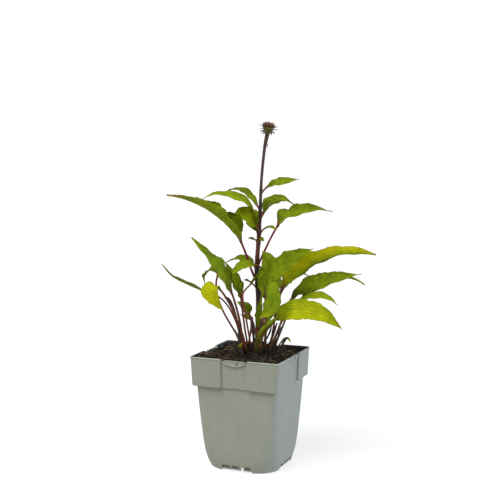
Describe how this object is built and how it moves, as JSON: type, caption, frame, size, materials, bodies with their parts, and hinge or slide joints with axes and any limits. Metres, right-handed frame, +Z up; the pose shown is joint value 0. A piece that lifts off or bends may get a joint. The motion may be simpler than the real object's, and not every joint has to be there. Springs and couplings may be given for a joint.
{
  "type": "potted purple coneflower plant",
  "caption": "Young purple coneflower in bud with lance-shaped leaves on reddish stalks, growing in dark compost in a square sage-grey plastic nursery pot.",
  "frame": {"origin": "under the middle of the whole part's bounding box, on the table that the pot stands on; the middle of the pot's base lies at x -17.3 mm, y -14.6 mm", "axes": "+Z up along the plant; X and Y along the sides of the square pot; the plant's best side faces the direction 22.4 degrees from -Y towards +X"},
  "size_m": [0.1853, 0.1399, 0.3255],
  "materials": {
    "pot": "matt sage grey injection-moulded plastic, black inside",
    "soil": "moist dark potting compost with bark fibres",
    "stem": "dark purple-brown, finely hairy",
    "leaf": "satin mid green with lengthwise veins, reddish purple stalk",
    "leaf_dark": "satin dark green",
    "leaf_lime": "satin lime green",
    "leaf_yellow": "satin yellow-green",
    "withered": "dry dark brown",
    "bract": "dark green, rough",
    "disc": "reddish brown, bristly"
  },
  "bodies": {
    "root": {"basal_leaf_01": "leaf", "basal_leaf_02": "leaf", "basal_leaf_03": "leaf_yellow", "basal_leaf_04": "leaf", "basal_leaf_05": "leaf", "basal_leaf_06": "leaf_dark", "basal_leaf_07": "leaf", "basal_leaf_08": "leaf_dark", "basal_leaf_09": "leaf_lime", "basal_leaf_10": "leaf", "basal_leaf_11": "leaf", "basal_leaf_12": "leaf_lime", "basal_leaf_13": "leaf_yellow", "basal_leaf_14": "leaf", "basal_leaf_15": "leaf", "basal_leaf_16": "leaf_lime", "basal_leaf_17": "leaf_dark", "basal_leaf_18": "leaf_lime", "basal_leaf_19": "leaf", "basal_leaf_20": "leaf", "flower_disc": "disc", "involucre": "bract", "main_stem": "stem", "pot": "pot", "soil": "soil", "stem_leaf_01": "leaf", "stem_leaf_02": "leaf_dark", "stem_leaf_03": "leaf", "stem_leaf_04": "leaf", "stem_leaf_05": "leaf", "stem_leaf_06": "leaf", "stem_leaf_07": "leaf_dark", "stem_leaf_08": "leaf_dark", "stem_leaf_09": "leaf_lime", "stem_leaf_10": "leaf", "stem_leaf_11": "leaf", "stem_leaf_12": "leaf", "stem_leaf_13": "leaf", "stem_leaf_14": "leaf", "withered_stalk_01": "withered", "withered_stalk_02": "withered", "withered_stalk_03": "withered"}
  },
  "joints": []
}
